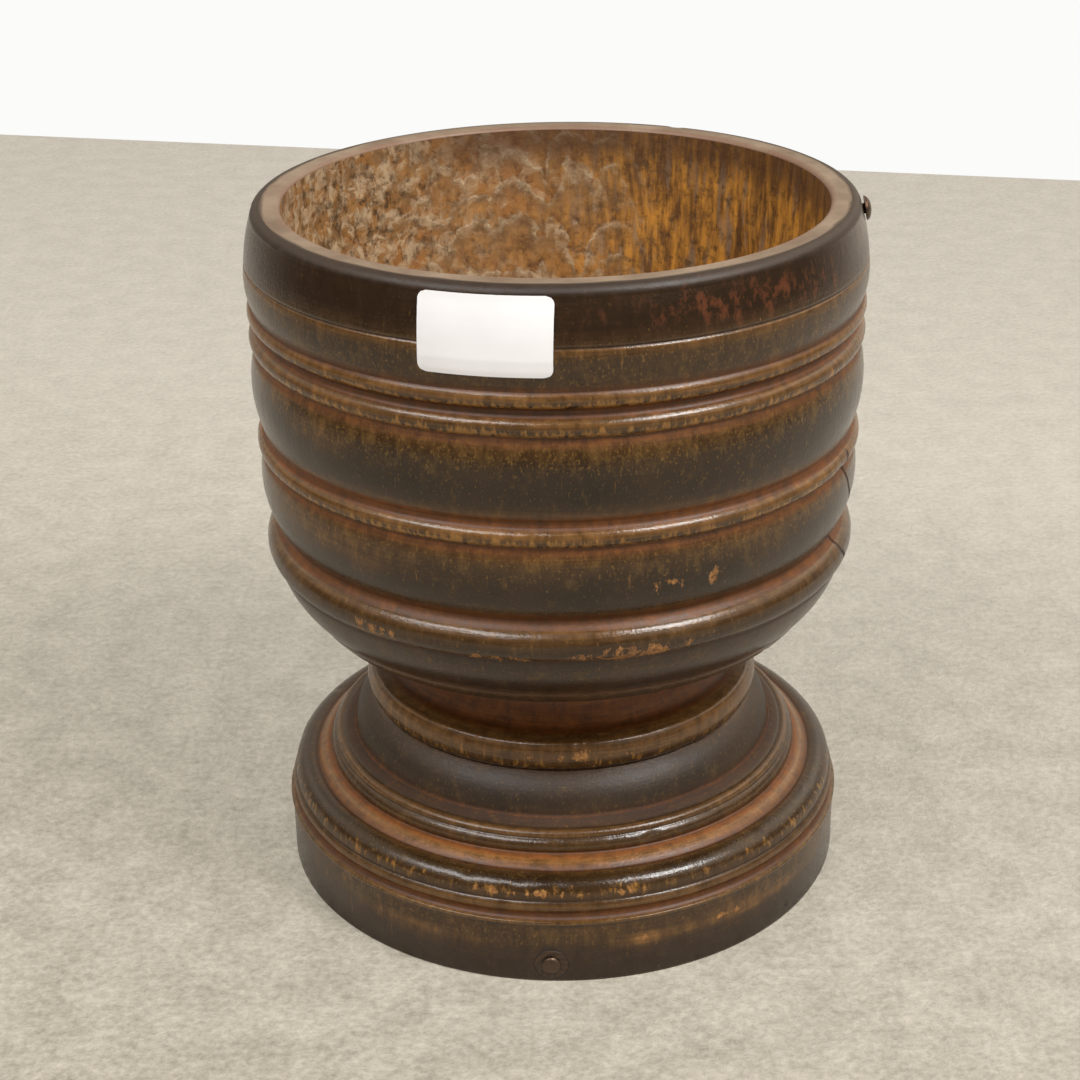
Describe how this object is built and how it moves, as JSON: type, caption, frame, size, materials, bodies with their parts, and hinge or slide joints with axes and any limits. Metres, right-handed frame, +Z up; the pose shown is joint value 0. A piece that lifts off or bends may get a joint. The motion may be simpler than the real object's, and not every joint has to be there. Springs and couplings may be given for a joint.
{
  "type": "wooden mortar",
  "caption": "Footed wooden mortar for grinding and pounding: a deep ringed bowl on a waisted neck and a wide moulded foot, turned from a solid block",
  "frame": {"origin": "centre of the foot's flat underside", "axes": "+Z up along the axis of the turning, -Y towards the front, where the label is, +X to the right seen from the front"},
  "size_m": [0.2538, 0.2543, 0.2966],
  "materials": {
    "waxed_hardwood": "dark, waxed and polished by handling, worn to bare orange-brown in places",
    "plug_wood": "dark waxed end grain",
    "wrought_iron": "blackened and rubbed bright on the dome",
    "label_paper": "smooth white paper, plain"
  },
  "bodies": {
    "root": {"turned_body": "waxed_hardwood", "foot_plug": "plug_wood", "rim_nail": "wrought_iron", "foot_nail": "wrought_iron", "paper_label": "label_paper"}
  },
  "joints": []
}
